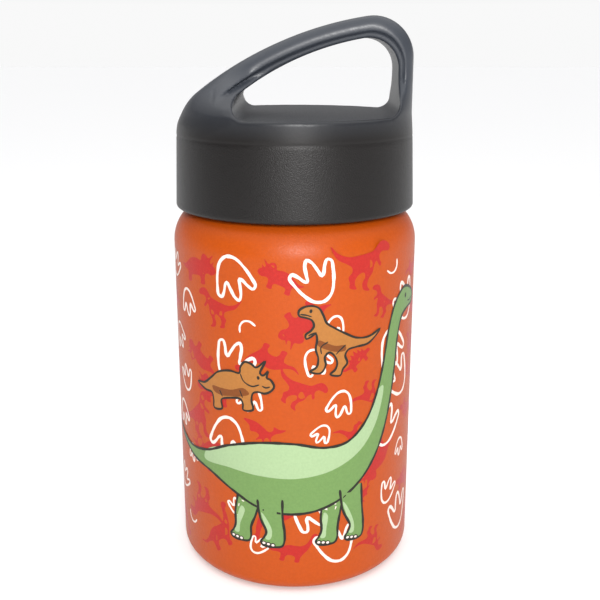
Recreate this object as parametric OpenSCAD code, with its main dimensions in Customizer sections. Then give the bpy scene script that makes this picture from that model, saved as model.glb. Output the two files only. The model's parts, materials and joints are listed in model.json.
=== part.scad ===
// Kids' vacuum bottle: a double-walled steel flask with a screw cap and a carry loop.
// Millimetres. The origin is the centre of the base on the table; +Z is up, and +X points
// towards the upright leg of the carry loop.

/* [Flask body] */
// Outside diameter of the painted body
body_d = 73; // [70:0.5:76]
// Height of the straight painted wall above the table
wall_top = 100.5; // [92:0.5:140]
// Outside radius of the shoulder
shoulder_r = 12; // [11:0.25:12.5]
// Edge radius of the bottom cup
base_edge_r = 4; // [3:0.5:5]
// Height of the bottom cup, where it is welded to the tube
base_cup_h = 9; // [8:0.5:14]
// Sheet thickness of the outer vessel
outer_t = 0.6; // [0.5:0.05:0.8]
// Sheet thickness of the inner vessel
inner_t = 0.5; // [0.4:0.05:0.6]
// Width of the evacuated gap between the two vessels
vacuum_gap = 2.8; // [2.4:0.1:3.4]

/* [Neck and thread] */
// Outside diameter of the steel neck, without its thread
neck_d = 59.8; // [59:0.1:60.4]
// Height of the drinking rim above the straight wall
rim_above_wall = 28.5; // [28.5:0.1:29]
// Rise of the single-start thread in one turn
thread_lead = 6; // [5.5:0.1:6.5]
// Turns of the thread bead on the neck
neck_turns = 1.5; // [1:0.25:1.5]
// Turns of the thread ridge in the cap
cap_turns = 1.25; // [1:0.25:1.25]
// How far the thread beads stand out
bead_h = 1.1; // [1:0.05:1.2]

/* [Cap] */
// Diameter of the cap at its lower edge
cap_d = 71; // [70:0.5:72]
// Diameter of the cap just below its top edge
cap_top_d = 69; // [68:0.5:70]
// Gap between the end of the straight wall and the cap's lower edge
cap_gap = 10.25; // [10:0.05:11]
// Height of the cap from its lower edge to its flat deck
cap_h = 26.9; // [26.6:0.1:28]
// Wall of the cap's skirt
cap_wall = 2.05; // [1.9:0.05:2.1]
// Thickness of the cap's deck
deck_t = 2.5; // [2:0.1:2.7]

/* [Carry loop] */
// Height of the loop above the deck
loop_h = 27; // [26:0.5:30]
// Half of the loop's depth at mid span
loop_half_depth = 10.8; // [9.5:0.1:12]
// Step back from the loop's face to the rim that lines the finger hole
rim_step = 1.1; // [0.6:0.1:2]

/* [Seal] */
// Thickness of the silicone ring
seal_t = 1.9; // [1.8:0.05:1.95]

/* [Hidden] */
$fn = 96;

// Colours
paint = [0.86, 0.37, 0.13];
steel = [0.78, 0.78, 0.79];
black = [0.13, 0.13, 0.14];

// Outer vessel
body_r = body_d / 2;
neck_r = neck_d / 2;
rim_z = wall_top + rim_above_wall;
shoulder_c = [body_r - shoulder_r, wall_top];
shoulder_sweep = 52;
neck_root_z = wall_top + 12.3;
rim_roll = 0.9;
weld_gap = 0.02; // hairline left between pieces that are welded or soldered together

// Inner vessel
liner_r = body_r - outer_t - vacuum_gap;
throat_r = neck_r - outer_t - 0.7;
mouth_r = throat_r - inner_t;
liner_shoulder_r = 9;
liner_bottom_z = 8;
liner_cup_h = 8;
foil_t = 0.15;
foil_gap = 0.25;
foil_low = 22;
foil_high = wall_top - 12;

// Bottom
base_recess = 2.2;
foot_r = body_r - base_edge_r;
recess_r = 25;
foot_slope = 1.8;
vent_r = 0.8;
cover_r = recess_r - 1.2;
cover_t = 0.5;
cover_dish = 0.45;
seal_bead_r = 2.2;
seal_bead_t = 0.35;
getter_r = 4;
getter_h = 1.6;
clip_t = 0.3;
clip_off = 13;

// Cap
cap_z = wall_top + cap_gap;
deck_z = cap_z + cap_h;
ceiling_z = deck_z - deck_t;
cap_r = cap_d / 2;
cap_top_r = cap_top_d / 2;
cap_bore_r = cap_r - cap_wall;
cap_edge_r = 1;
deck_edge_r = 1.6;
fit_gap = 0.1;
snap_h = 0.9;
snap_depth = 0.5;

// Cap liner, seal and plug
seal_gap = 0.2;
seal_z = rim_z + seal_gap;
seat_z = seal_z + seal_t + seal_gap;
seat_t = 1.8;
liner_wall = 1.7;
liner_out_r = cap_bore_r - fit_gap;
liner_in_r = liner_out_r - liner_wall;
liner_low_z = cap_z + snap_h + 0.4;
plug_r = mouth_r - 0.9;
plug_wall = 1.4;
plug_low_z = rim_z - 5.5;
seal_in_r = plug_r + 0.3;
seal_out_r = liner_in_r - 0.4;
foam_r = plug_r - plug_wall - 0.2;

// Threads
bead_root_half = 1.15;
bead_tip_half = 0.5;
bead_sink = 0.3;
bead_taper_deg = 24;
ring_step_deg = 10;
neck_bead_z = neck_root_z + 2.2;
cap_bead_start = -90;
cap_bead_z = neck_bead_z + thread_lead * (0.5 + cap_bead_start / 360);

// Carry loop: three outlines in the X-Z plane, each from an upright on the left, over a
// long crown and round a corner to an upright on the right. The slope is the crown's own,
// in degrees, where it runs into the corner.
loop_top = deck_z + loop_h;
loop_left_x = -cap_top_r + 0.1;
loop_right_x = cap_top_r - 0.3;
loop_left_r = 15.8;
loop_crown_r = 104;
loop_corner_r = 11.6;
loop_slope = 8.2;

// Ridge between the face of the loop and the stepped-back rim
ridge_left_x = loop_left_x + 12;
ridge_right_x = loop_right_x - 3.5;
ridge_top = loop_top - 4.3;
ridge_left_r = 8;
ridge_crown_r = 92;
ridge_corner_r = 9.4;

// Finger hole
hole_left_x = loop_left_x + 18.55;
hole_right_x = loop_right_x - 5;
hole_top = loop_top - 6.05;
hole_left_r = 3.6;
hole_crown_r = 80.5;
hole_corner_r = 8.4;
hole_slope = 9.6;
hole_foot = 3.4;

// Depth of the loop along its length: [x, half depth], widest where it meets the skirt
plan_left = [[-40, 24], [-30, 18], [-24, 14.5], [-16, 11.8], [-6, loop_half_depth]];
plan_right = [[26, loop_half_depth], [30, 13], [34, 15.5], [40, 20]];

// ---- functions ----

// Points of an arc about c, from angle a0 to a1
function arc(c, r, a0, a1, n) =
    [for (i = [0:n]) let (a = a0 + (a1 - a0) * i / n) [c[0] + r * cos(a), c[1] + r * sin(a)]];

// Line of a loop outline, from the left upright to the right one
function loop_line(left_x, right_x, top, left_r, crown_r, corner_r, slope) =
    let (corner = [right_x - corner_r, top - corner_r],
         crown = corner + (corner_r - crown_r) * [-sin(slope), cos(slope)],
         turn = acos((left_x + left_r - crown[0]) / (crown_r - left_r)),
         left = crown + (crown_r - left_r) * [cos(turn), sin(turn)])
    concat(arc(left, left_r, 180, turn, 8), arc(crown, crown_r, turn - 1, 91 + slope, 10),
           arc(corner, corner_r, 90 + slope, 0, 10));

// Reverses a list of points
function backwards(p) = [for (i = [len(p) - 1:-1:0]) p[i]];

// Shoulder and neck line of the outer vessel, moved inwards by t
function shell_line(t) = concat(
    [[body_r - t, base_cup_h + weld_gap]],
    arc(shoulder_c, shoulder_r - t, 0, shoulder_sweep, 12),
    [[neck_r - t + 0.5, neck_root_z - 1.1], [neck_r - t, neck_root_z]],
    [[neck_r - t, rim_z - rim_roll]]);

// Profile of a thread bead at the share s (0 to 1) of its height; side is +1 outward, -1 inward
function bead_profile(wall_r, side, s) = [
    [wall_r - side * bead_sink, -bead_root_half],
    [wall_r + side * bead_h * s, -bead_tip_half],
    [wall_r + side * bead_h * s, bead_tip_half],
    [wall_r - side * bead_sink, bead_root_half]];

// Share of the full bead height at the angle a of a bead that is long_deg long
function run_in(a, long_deg) = max(0.02, min(1, min(a, long_deg - a) / bead_taper_deg));

// ---- shared shapes ----

// Solid of revolution from a closed profile of [r, z] points
module turned(points) {
    rotate_extrude() polygon(points);
}

// Round bar or disc from z0 to z1
module disc(r, z0, z1) {
    translate([0, 0, z0]) cylinder(r = r, h = z1 - z0);
}

// Ring between two radii
module ring(r_in, r_out, z0, z1) {
    turned([[r_in, z0], [r_out, z0], [r_out, z1], [r_in, z1]]);
}

// Helical thread bead standing out of a wall of radius wall_r
module thread_bead(wall_r, side, z, start_deg, turns) {
    long_deg = 360 * turns;
    steps = round(long_deg / ring_step_deg);
    rings = [for (i = [0:steps])
        let (a = long_deg * i / steps, p = bead_profile(wall_r, side, run_in(a, long_deg)))
        [for (q = p) [q[0] * cos(start_deg + a), q[0] * sin(start_deg + a),
                      z + q[1] + thread_lead * a / 360]]];
    points = [for (r = rings) for (p = r) p];
    quads = [for (i = [0:steps - 1]) for (k = [0:3]) let (n = (k + 1) % 4)
        [4 * i + k, 4 * i + 4 + k, 4 * i + 4 + n, 4 * i + n]];
    last = 4 * steps;
    sides = [for (q = quads) each [[q[0], q[1], q[2]], [q[0], q[2], q[3]]]];
    ends = [[0, 1, 2], [0, 2, 3], [last, last + 2, last + 1], [last, last + 3, last + 2]];
    faces = concat(sides, ends);
    polyhedron(points, side < 0 ? faces : [for (f = faces) backwards(f)], convexity = 6);
}

// A shape drawn in x and height, extruded along Y to the given half depth
module upright(half_depth) {
    rotate([90, 0, 0]) translate([0, 0, -half_depth]) linear_extrude(2 * half_depth) children();
}

// ---- flask ----

module outer_shell() {
    color(paint) {
        turned(concat(shell_line(0),
                      arc([neck_r - rim_roll, rim_z - rim_roll], rim_roll, 0, 90, 4),
                      [[neck_r - rim_roll, rim_z - outer_t]],
                      backwards(shell_line(outer_t))));
        thread_bead(neck_r, 1, neck_bead_z, 0, neck_turns);
    }
}

module outer_base() {
    edge_c = [foot_r, base_edge_r];
    color(paint) turned(concat(
        [[vent_r, base_recess], [recess_r, base_recess], [recess_r + foot_slope, 0]],
        arc(edge_c, base_edge_r, -90, 0, 8),
        [[body_r, base_cup_h], [body_r - outer_t, base_cup_h]],
        arc(edge_c, base_edge_r - outer_t, 0, -90, 8),
        [[recess_r + foot_slope + 0.3, outer_t], [recess_r + 0.3, base_recess + outer_t],
         [vent_r, base_recess + outer_t]]));
}

module vacuum_seal() {
    low = base_recess - seal_bead_t;
    stem_r = vent_r - weld_gap;
    color([0.40, 0.41, 0.43]) turned([[0, low], [seal_bead_r - 0.4, low], [seal_bead_r, base_recess - weld_gap],
        [stem_r, base_recess - weld_gap], [stem_r, base_recess + outer_t], [0, base_recess + outer_t]]);
}

module base_cover() {
    top = base_recess - weld_gap;
    low = top - cover_t;
    dish_r = 8;
    rise_r = 9.5;
    color(steel) turned([[0, low - cover_dish], [dish_r, low - cover_dish], [rise_r, low],
        [cover_r - 0.4, low], [cover_r, low + 0.4], [cover_r, top],
        [rise_r - 0.2, top], [dish_r - 0.2, top - cover_dish], [0, top - cover_dish]]);
}

module getter() {
    z0 = base_recess + outer_t + clip_t + weld_gap;
    color([0.35, 0.35, 0.38]) translate([clip_off, 0, 0]) disc(getter_r, z0, z0 + getter_h);
}

module getter_clip() {
    z0 = base_recess + outer_t + weld_gap / 2;
    bore_r = getter_r + 0.05;
    lip = 0.5;
    flange = 2;
    color(steel) translate([clip_off, 0, 0]) difference() {
        union() {
            disc(bore_r + clip_t, z0, z0 + clip_t + getter_h + lip);
            disc(bore_r + flange, z0, z0 + clip_t);
        }
        disc(bore_r, z0 + clip_t, z0 + getter_h + 2 * lip + 1);
    }
}

module inner_liner() {
    c = [liner_r - liner_shoulder_r, wall_top - 1];
    sweep = acos((throat_r - c[0]) / liner_shoulder_r);
    outer_line = concat([[liner_r, liner_bottom_z + liner_cup_h + weld_gap]],
        arc(c, liner_shoulder_r, 0, sweep, 10), [[throat_r, neck_root_z - 0.8], [throat_r, rim_z - outer_t]]);
    inner_line = concat([[liner_r - inner_t, liner_bottom_z + liner_cup_h + weld_gap]],
        arc(c, liner_shoulder_r - inner_t, 0, sweep, 10), [[mouth_r, neck_root_z - 1], [mouth_r, rim_z - 0.8]]);
    lip_r = neck_r - rim_roll - 2 * weld_gap;
    color(steel) turned(concat(outer_line,
        [[lip_r, rim_z - outer_t], [lip_r, rim_z],
         [mouth_r + 0.5, rim_z], [mouth_r + 0.15, rim_z - 0.2]],
        backwards(inner_line)));
}

module inner_base() {
    r = liner_r;
    edge = 5;
    c = [r - edge, liner_bottom_z + edge];
    dome = [[0, 2], [10, 1.6], [20, 0.3]];
    color(steel) turned(concat(
        [for (p = dome) [p[0], liner_bottom_z + p[1]]],
        arc(c, edge, -90, 0, 8),
        [[r, liner_bottom_z + liner_cup_h], [r - inner_t, liner_bottom_z + liner_cup_h]],
        arc(c, edge - inner_t, 0, -90, 8),
        [for (p = backwards(dome)) [p[0], liner_bottom_z + p[1] + inner_t]]));
}

module radiation_foil() {
    color([0.85, 0.85, 0.86]) ring(liner_r + foil_gap, liner_r + foil_gap + foil_t, foil_low, foil_high);
}

// ---- seal ----

module seal_ring() {
    z0 = seal_z;
    z1 = seal_z + seal_t;
    color([0.86, 0.87, 0.86]) turned([[seal_in_r, z0 + 0.3], [seal_in_r + 0.3, z0], [seal_out_r - 0.4, z0],
        [seal_out_r, z0 + 0.4], [seal_out_r, z1 - 0.4], [seal_out_r - 0.4, z1], [seal_in_r + 0.3, z1],
        [seal_in_r, z1 - 0.3]]);
}

// ---- cap ----

// Outline of the loop's outer edge
module loop_outer_2d() {
    polygon(concat(
        [[loop_left_x, deck_z - 9]],
        loop_line(loop_left_x, loop_right_x, loop_top, loop_left_r, loop_crown_r, loop_corner_r, loop_slope),
        [[loop_right_x + 0.2, deck_z + 4], [loop_right_x + 0.2, deck_z - 9]]));
}

// Outline of the stepped-back rim
module ridge_2d() {
    polygon(concat(
        [[ridge_left_x, deck_z - 9]],
        loop_line(ridge_left_x, ridge_right_x, ridge_top, ridge_left_r, ridge_crown_r, ridge_corner_r,
                  hole_slope),
        [[ridge_right_x, deck_z - 9]]));
}

// Outline of the finger hole, with sloped feet where the rim meets the deck
module hole_2d() {
    polygon(concat(
        [[hole_left_x + 2 * hole_foot, deck_z], [hole_left_x + hole_foot * 0.8, deck_z + hole_foot * 0.4],
         [hole_left_x + hole_foot * 0.1, deck_z + hole_foot]],
        loop_line(hole_left_x, hole_right_x, hole_top, hole_left_r, hole_crown_r, hole_corner_r, hole_slope),
        [[hole_right_x, deck_z + hole_foot], [hole_right_x - hole_foot * 0.6, deck_z + hole_foot * 0.5],
         [hole_right_x - 1.5 * hole_foot, deck_z]]));
}

// Where the loop may stand, seen from above
module loop_plan_2d() {
    near = concat(plan_left, plan_right);
    polygon(concat([for (p = near) [p[0], -p[1]]], [for (p = backwards(near)) p]));
}

module carry_loop() {
    intersection() {
        difference() {
            upright(cap_r) loop_outer_2d();
            upright(cap_r + 1) ridge_2d();
        }
        translate([0, 0, deck_z - 1]) linear_extrude(loop_h + 2) loop_plan_2d();
        disc(cap_top_r - 0.05, deck_z - 1.2, loop_top + 1);
    }
    intersection() {
        upright(loop_half_depth - rim_step) difference() {
            loop_outer_2d();
            hole_2d();
        }
        disc(cap_top_r - 0.1, deck_z - 0.8, loop_top + 1);
    }
}

module cap_shell() {
    color(black) {
        turned(concat(
            [[cap_bore_r, cap_z]],
            arc([cap_r - cap_edge_r, cap_z + cap_edge_r], cap_edge_r, -90, 0, 4),
            arc([cap_top_r - deck_edge_r, deck_z - deck_edge_r], deck_edge_r, 0, 90, 6),
            [[0, deck_z], [0, ceiling_z], [cap_bore_r - 0.5, ceiling_z], [cap_bore_r, ceiling_z - 0.5],
             [cap_bore_r, cap_z + snap_h + 0.3], [cap_bore_r - snap_depth, cap_z + snap_h],
             [cap_bore_r - snap_depth, cap_z + 0.5]]));
        ring(liner_in_r + 0.3, liner_in_r + 1.3, seat_z + seat_t + fit_gap / 2, ceiling_z + 0.1);
        carry_loop();
    }
}

module cap_liner() {
    color(black) {
        turned([[liner_in_r + 0.6, liner_low_z], [liner_out_r, liner_low_z],
            [liner_out_r, seat_z + seat_t - 0.6], [liner_out_r - 0.6, seat_z + seat_t],
            [plug_r - plug_wall, seat_z + seat_t], [plug_r - plug_wall, plug_low_z + 3.2],
            [plug_r, plug_low_z + 3.2], [plug_r, seat_z],
            [liner_in_r, seat_z], [liner_in_r, liner_low_z + 0.8]]);
        thread_bead(liner_in_r, -1, cap_bead_z, cap_bead_start, cap_turns);
    }
}

module insulation_disc() {
    color([0.93, 0.92, 0.88]) disc(foam_r, plug_low_z + 1.9, ceiling_z - 0.15);
}

module plug_cover() {
    color(black) turned([[0, plug_low_z], [plug_r - 1.2, plug_low_z], [plug_r, plug_low_z + 1.2],
        [plug_r, plug_low_z + 3.1], [plug_r - 0.6, plug_low_z + 3.1], [plug_r - 0.6, plug_low_z + 2.2],
        [foam_r + 0.05, plug_low_z + 1.7], [0, plug_low_z + 1.7]]);
}

outer_shell();
outer_base();
base_cover();
vacuum_seal();
getter();
getter_clip();
inner_liner();
inner_base();
radiation_foil();
seal_ring();
cap_shell();
cap_liner();
insulation_disc();
plug_cover();
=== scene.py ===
"""Looks of the kids' vacuum bottle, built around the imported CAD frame.

Lengths are in millimetres until a mesh is made, which puts them into metres. The bottle stands at
the origin with +Z up, the carry loop's upright leg is towards +X and the printed front faces -Y.
"""

import json
import math
import random

import bmesh
import bpy
import numpy as np
import openvdb
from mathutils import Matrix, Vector
from mathutils.geometry import delaunay_2d_cdt


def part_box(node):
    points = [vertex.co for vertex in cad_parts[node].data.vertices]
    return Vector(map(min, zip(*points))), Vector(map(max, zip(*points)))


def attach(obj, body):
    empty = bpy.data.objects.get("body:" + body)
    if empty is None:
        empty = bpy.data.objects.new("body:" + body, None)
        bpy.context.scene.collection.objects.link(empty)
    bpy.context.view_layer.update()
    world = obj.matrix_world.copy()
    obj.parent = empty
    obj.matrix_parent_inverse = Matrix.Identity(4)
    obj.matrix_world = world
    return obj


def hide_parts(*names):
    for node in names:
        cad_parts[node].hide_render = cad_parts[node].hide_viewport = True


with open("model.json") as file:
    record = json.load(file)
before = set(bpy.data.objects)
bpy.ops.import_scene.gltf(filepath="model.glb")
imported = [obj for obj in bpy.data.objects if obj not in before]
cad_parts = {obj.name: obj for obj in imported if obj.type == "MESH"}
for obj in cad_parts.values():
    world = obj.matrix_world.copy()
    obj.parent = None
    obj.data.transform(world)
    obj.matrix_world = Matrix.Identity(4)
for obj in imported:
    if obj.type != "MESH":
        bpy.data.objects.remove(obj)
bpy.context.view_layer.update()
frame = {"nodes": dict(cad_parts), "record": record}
MM = 0.001


# ---------------------------------------------------------------- sizes from the frame

def span(node):
    """Lowest and highest corner of a CAD node, in millimetres."""
    lo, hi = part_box(node)
    return np.array(lo) / MM, np.array(hi) / MM


SHELL_LO, SHELL_HI = span("outer_shell")
CAP_LO, CAP_HI = span("cap_shell")
LINER_LO, LINER_HI = span("inner_liner")
SLEEVE_LO, SLEEVE_HI = span("cap_liner")
SEAL_LO, SEAL_HI = span("seal_ring")
PLUG_LO, PLUG_HI = span("plug_cover")
_, FOAM_HI = span("insulation_disc")
POUR_IN_LO, POUR_IN_HI = span("inner_base")
LEAD = frame["record"]["behaviour"]["couplings"][0]["ratio"] * 2 * math.pi / MM

BODY_R = SHELL_HI[0]
SEAM_Z = SHELL_LO[2]
RIM_Z = SHELL_HI[2]
NECK_H = 28.5
WALL_TOP = RIM_Z - NECK_H
NECK_R = 29.9
SHEET = 0.6
LINER_SHEET = 0.5
RIM_ROLL = 0.9
CAP_Z = CAP_LO[2]
CAP_R = CAP_HI[0]
LOOP_H = 27.0
DECK_Z = CAP_HI[2] - LOOP_H
CEILING_Z = FOAM_HI[2] + 0.15
CAP_TOP_R = CAP_R - 1.0
CAP_BORE_R = CAP_R - 2.05


# ---------------------------------------------------------------- mesh helpers

def add_mesh(name, points, faces, materials, face_material=None, crease_deg=40):
    """Makes a smooth-shaded object from points in millimetres."""
    mesh = bpy.data.meshes.new(name)
    mesh.from_pydata((np.asarray(points, dtype=float) * MM).tolist(), [], [list(map(int, f)) for f in faces])
    for material in materials:
        mesh.materials.append(material)
    if face_material is not None:
        mesh.polygons.foreach_set("material_index", np.asarray(face_material, dtype=np.int32))
    edit = bmesh.new()
    edit.from_mesh(mesh)
    bmesh.ops.remove_doubles(edit, verts=edit.verts, dist=1e-7)
    bmesh.ops.dissolve_degenerate(edit, dist=1e-8, edges=edit.edges)
    bmesh.ops.recalc_face_normals(edit, faces=edit.faces)
    edit.to_mesh(mesh)
    edit.free()
    mesh.shade_smooth()
    mesh.set_sharp_from_angle(angle=math.radians(crease_deg))
    piece = bpy.data.objects.new(name, mesh)
    bpy.context.scene.collection.objects.link(piece)
    return piece


def rounded(corners, steps=7):
    """Points of a closed line through corners (r, z) or (r, z, radius), with arcs at the radii."""
    line = []
    count = len(corners)
    for i, corner in enumerate(corners):
        here = np.array(corner[:2], dtype=float)
        radius = corner[2] if len(corner) > 2 else 0.0
        if radius <= 0:
            line.append(here)
            continue
        before = np.array(corners[i - 1][:2]) - here
        after = np.array(corners[(i + 1) % count][:2]) - here
        before /= np.linalg.norm(before)
        after /= np.linalg.norm(after)
        half = math.acos(float(np.clip(before @ after, -1, 1))) / 2
        bisector = (before + after) / np.linalg.norm(before + after)
        centre = here + bisector * radius / math.sin(half)
        first = here + before * radius / math.tan(half) - centre
        last = here + after * radius / math.tan(half) - centre
        start = math.atan2(first[1], first[0])
        sweep = (math.atan2(last[1], last[0]) - start + math.pi) % (2 * math.pi) - math.pi
        for t in np.linspace(0, 1, steps + 1):
            angle = start + sweep * t
            line.append(centre + radius * np.array([math.cos(angle), math.sin(angle)]))
    return np.array(line)


def refine(line, low, high, pitch):
    """Adds points along the upright stretches of a closed line between two heights."""
    out = []
    for a, b in zip(line, np.roll(line, -1, axis=0)):
        upright = abs(a[0] - b[0]) < 0.05 and abs(a[1] - b[1]) > pitch
        inside = max(a[1], b[1]) > low and min(a[1], b[1]) < high
        parts = int(math.ceil(abs(a[1] - b[1]) / pitch)) if upright and inside else 1
        out += [a + (b - a) * i / parts for i in range(parts)]
    return np.array(out)


def turned(name, line, materials, around=256, shift=None, paint=None, crease_deg=40):
    """Solid of revolution of a closed line of (r, z). shift(angle, r, z) moves the radius in or
    out, and paint(r, z) picks each face's material."""
    line = np.asarray(line, dtype=float)
    angles = np.arange(around) * 2 * math.pi / around
    r = np.repeat(line[:, 0][:, None], around, axis=1)
    z = np.repeat(line[:, 1][:, None], around, axis=1)
    a = np.repeat(angles[None, :], len(line), axis=0)
    if shift is not None:
        r = r + shift(a, r, z)
    points = np.stack([r * np.cos(a), r * np.sin(a), z], axis=-1).reshape(-1, 3)
    rows = len(line)
    i = np.repeat(np.arange(rows), around)
    j = np.tile(np.arange(around), rows)
    i2 = (i + 1) % rows
    j2 = (j + 1) % around
    on_axis = (line[i, 0] < 1e-9) & (line[i2, 0] < 1e-9)
    faces = np.stack([i * around + j, i * around + j2, i2 * around + j2, i2 * around + j], axis=1)[~on_axis]
    kinds = None
    if paint is not None:
        middle = (line + np.roll(line, -1, axis=0)) / 2
        kinds = np.array([paint(*middle[row]) for row in i[~on_axis]])
    return add_mesh(name, points, faces, materials, kinds, crease_deg)


def thread(wall_r, side, first_z, start_deg, turns, height=1.1, half_width=1.25, run_in_deg=26):
    """Radius shift of one rounded helical bead on a wall of the given radius; side is +1 outward."""
    def shift(angle, r, z):
        total = 0.0
        for lap in range(-1, int(turns) + 2):
            along = np.degrees(angle) - start_deg + 360 * lap
            middle = first_z + LEAD * along / 360
            inside = np.clip(np.minimum(along, 360 * turns - along) / run_in_deg, 0, 1)
            across = np.clip(1 - ((z - middle) / half_width) ** 2, 0, 1)
            total = np.maximum(total, height * np.sqrt(inside) * across ** 0.7)
        return np.where(np.abs(r - wall_r) < 0.02, side * total, 0.0)
    return shift


def show(piece, body, slot, *nodes):
    """Rides a piece on a body and lets it stand for the named CAD nodes, which it hides; slot is not used."""
    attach(piece, body)
    if nodes:
        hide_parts(*nodes)
    return piece


# ---------------------------------------------------------------- materials

def srgb(red, green, blue):
    """Linear colour of 0-255 display values."""
    def linear(v):
        v /= 255
        return v / 12.92 if v <= 0.04045 else ((v + 0.055) / 1.055) ** 2.4
    return (linear(red), linear(green), linear(blue), 1.0)


class Finish:
    """A material on one principled shader, with helpers for the usual surface detail."""

    def __init__(self, name, colour, roughness, metallic=0.0, specular=0.5):
        self.material = bpy.data.materials.new(name)
        self.material.use_nodes = True
        self.tree = self.material.node_tree
        self.shader = self.tree.nodes["Principled BSDF"]
        self.set("Base Color", colour)
        self.set("Roughness", roughness)
        self.set("Metallic", metallic)
        self.set("Specular IOR Level", specular)
        self.place = self.add("ShaderNodeTexCoord").outputs["Object"]
        self.colour = colour

    def add(self, kind, **values):
        node = self.tree.nodes.new(kind)
        for key, value in values.items():
            setattr(node, key, value)
        return node

    def set(self, socket, value):
        self.shader.inputs[socket].default_value = value

    def link(self, a, b):
        self.tree.links.new(a, b)

    def noise(self, size_mm, detail=2.0, stretch=(1, 1, 1)):
        """Noise whose blotches are about size_mm across."""
        scaled = self.add("ShaderNodeMapping")
        scaled.inputs["Scale"].default_value = [1 / (size_mm * MM * s) for s in stretch]
        self.link(self.place, scaled.inputs["Vector"])
        noise = self.add("ShaderNodeTexNoise")
        noise.inputs["Scale"].default_value = 1.0
        noise.inputs["Detail"].default_value = detail
        self.link(scaled.outputs["Vector"], noise.inputs["Vector"])
        return noise.outputs["Fac"]

    def between(self, value, low, high, from_low=0.3, from_high=0.7):
        """Maps a value onto low..high; as it stands, the middle of a noise's range."""
        node = self.add("ShaderNodeMapRange")
        node.inputs["From Min"].default_value = from_low
        node.inputs["From Max"].default_value = from_high
        node.inputs["To Min"].default_value = low
        node.inputs["To Max"].default_value = high
        self.link(value, node.inputs["Value"])
        return node.outputs["Result"]

    def math(self, operation, a, b):
        node = self.add("ShaderNodeMath", operation=operation)
        for socket, value in zip(node.inputs, (a, b)):
            if isinstance(value, (int, float)):
                socket.default_value = value
            else:
                self.link(value, socket)
        return node.outputs[0]

    def height_switch(self, height_mm, blend_mm=0.3):
        """0 below a height on the bottle and 1 above it."""
        split = self.add("ShaderNodeSeparateXYZ")
        self.link(self.place, split.inputs[0])
        low, high = (height_mm - blend_mm) * MM, (height_mm + blend_mm) * MM
        return self.between(split.outputs["Z"], 0.0, 1.0, low, high)

    def blend(self, value, low, high):
        """Base colour low where the value is 0 and high where it is 1."""
        mix = self.add("ShaderNodeMix", data_type="RGBA")
        self.link(value, mix.inputs["Factor"])
        mix.inputs["A"].default_value, mix.inputs["B"].default_value = low, high
        self.link(mix.outputs["Result"], self.shader.inputs["Base Color"])

    def tone(self, value, dark, light):
        """Varies the base colour between dark and light shades of itself."""
        shades = [[min(1, c * shade) for c in self.colour[:3]] + [1] for shade in (dark, light)]
        self.blend(value, *shades)

    def gloss(self, value, low, high):
        """Varies the roughness."""
        self.link(self.between(value, low, high), self.shader.inputs["Roughness"])

    def bumps(self, height, depth_mm):
        """Adds bumps of the given depth on top of any bumps already there."""
        bump = self.add("ShaderNodeBump")
        bump.inputs["Distance"].default_value = depth_mm * MM
        bump.inputs["Strength"].default_value = 1.0
        self.link(height, bump.inputs["Height"])
        old = self.shader.inputs["Normal"]
        if old.is_linked:
            self.link(old.links[0].from_socket, bump.inputs["Normal"])
        self.link(bump.outputs["Normal"], old)


def powder_coat(name, colour):
    """Fine-textured sprayed coat: a soft orange-peel under a sharper grain."""
    finish = Finish(name, colour, 0.36, specular=0.24)
    fine = finish.noise(0.42, 3.0)
    finish.bumps(finish.noise(1.6, 1.5), 0.035)
    finish.bumps(fine, 0.05)
    finish.tone(finish.between(finish.noise(0.9, 4.0), 0, 1), 0.95, 1.05)
    finish.gloss(fine, 0.36, 0.48)
    return finish.material


def ink(name, colour, speckle=0.06):
    """Printed ink: takes the coat's grain, a little glossier, with slightly uneven cover."""
    finish = Finish(name, colour, 0.38, specular=0.22)
    fine = finish.noise(0.42, 3.0)
    finish.bumps(fine, 0.035)
    finish.tone(finish.between(finish.noise(0.7, 4.0), 0, 1), 1 - speckle, 1 + speckle)
    finish.gloss(fine, 0.34, 0.44)
    return finish.material


# The loop's colour is a painted sheen. The loop is the same black plastic as the skirt, lightened to a bluish
# grey that stands for the bright ceiling reflected on its faces.
SKIRT_BLACK, LOOP_PAINTED_SHEEN = srgb(16, 13, 12), srgb(50, 54, 61)


def cap_plastic():
    """Black moulded plastic, spark-textured on the skirt and smoother above it, with a painted bluish-grey
    sheen from the deck up over the loop.
    """
    finish = Finish("cap_plastic", SKIRT_BLACK, 0.36)
    upper = finish.height_switch(SKIRT_LINE_Z)
    fine = finish.noise(0.34, 3.0)
    broad = finish.noise(2.4, 2.0)
    grain = finish.math("MULTIPLY", fine, finish.math("SUBTRACT", 1.15, upper))
    finish.bumps(broad, 0.02)
    finish.bumps(grain, 0.075)
    finish.gloss(fine, 0.35, 0.47)
    # Painted sheen: from the deck up, the base colour fades from the skirt's black to the lighter bluish
    # grey.
    loop = finish.height_switch(DECK_Z + 1, 6)
    finish.blend(loop, SKIRT_BLACK, LOOP_PAINTED_SHEEN)
    finish.link(finish.between(loop, 0.34, 0.5, 0, 1), finish.shader.inputs["Specular IOR Level"])
    return finish.material


def plain_plastic(name, colour):
    """Moulded plastic that is mostly out of sight: finely etched, with faint flow marks."""
    finish = Finish(name, colour, 0.45, specular=0.4)
    fine = finish.noise(0.5, 2.0)
    finish.bumps(fine, 0.03)
    finish.tone(finish.between(finish.noise(6, 2.0, (1, 1, 3)), 0, 1), 0.92, 1.08)
    finish.gloss(fine, 0.40, 0.55)
    return finish.material


def steel(name, colour, low, high, stretch, depth_mm):
    """Stainless steel with fine lines along the stretched axis."""
    finish = Finish(name, colour, (low + high) / 2, metallic=1.0)
    lines = finish.noise(0.25, 3.0, stretch)
    finish.bumps(lines, depth_mm)
    finish.gloss(finish.noise(1.5, 4.0, stretch), low, high)
    finish.tone(finish.between(lines, 0, 1), 0.94, 1.04)
    return finish.material


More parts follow.
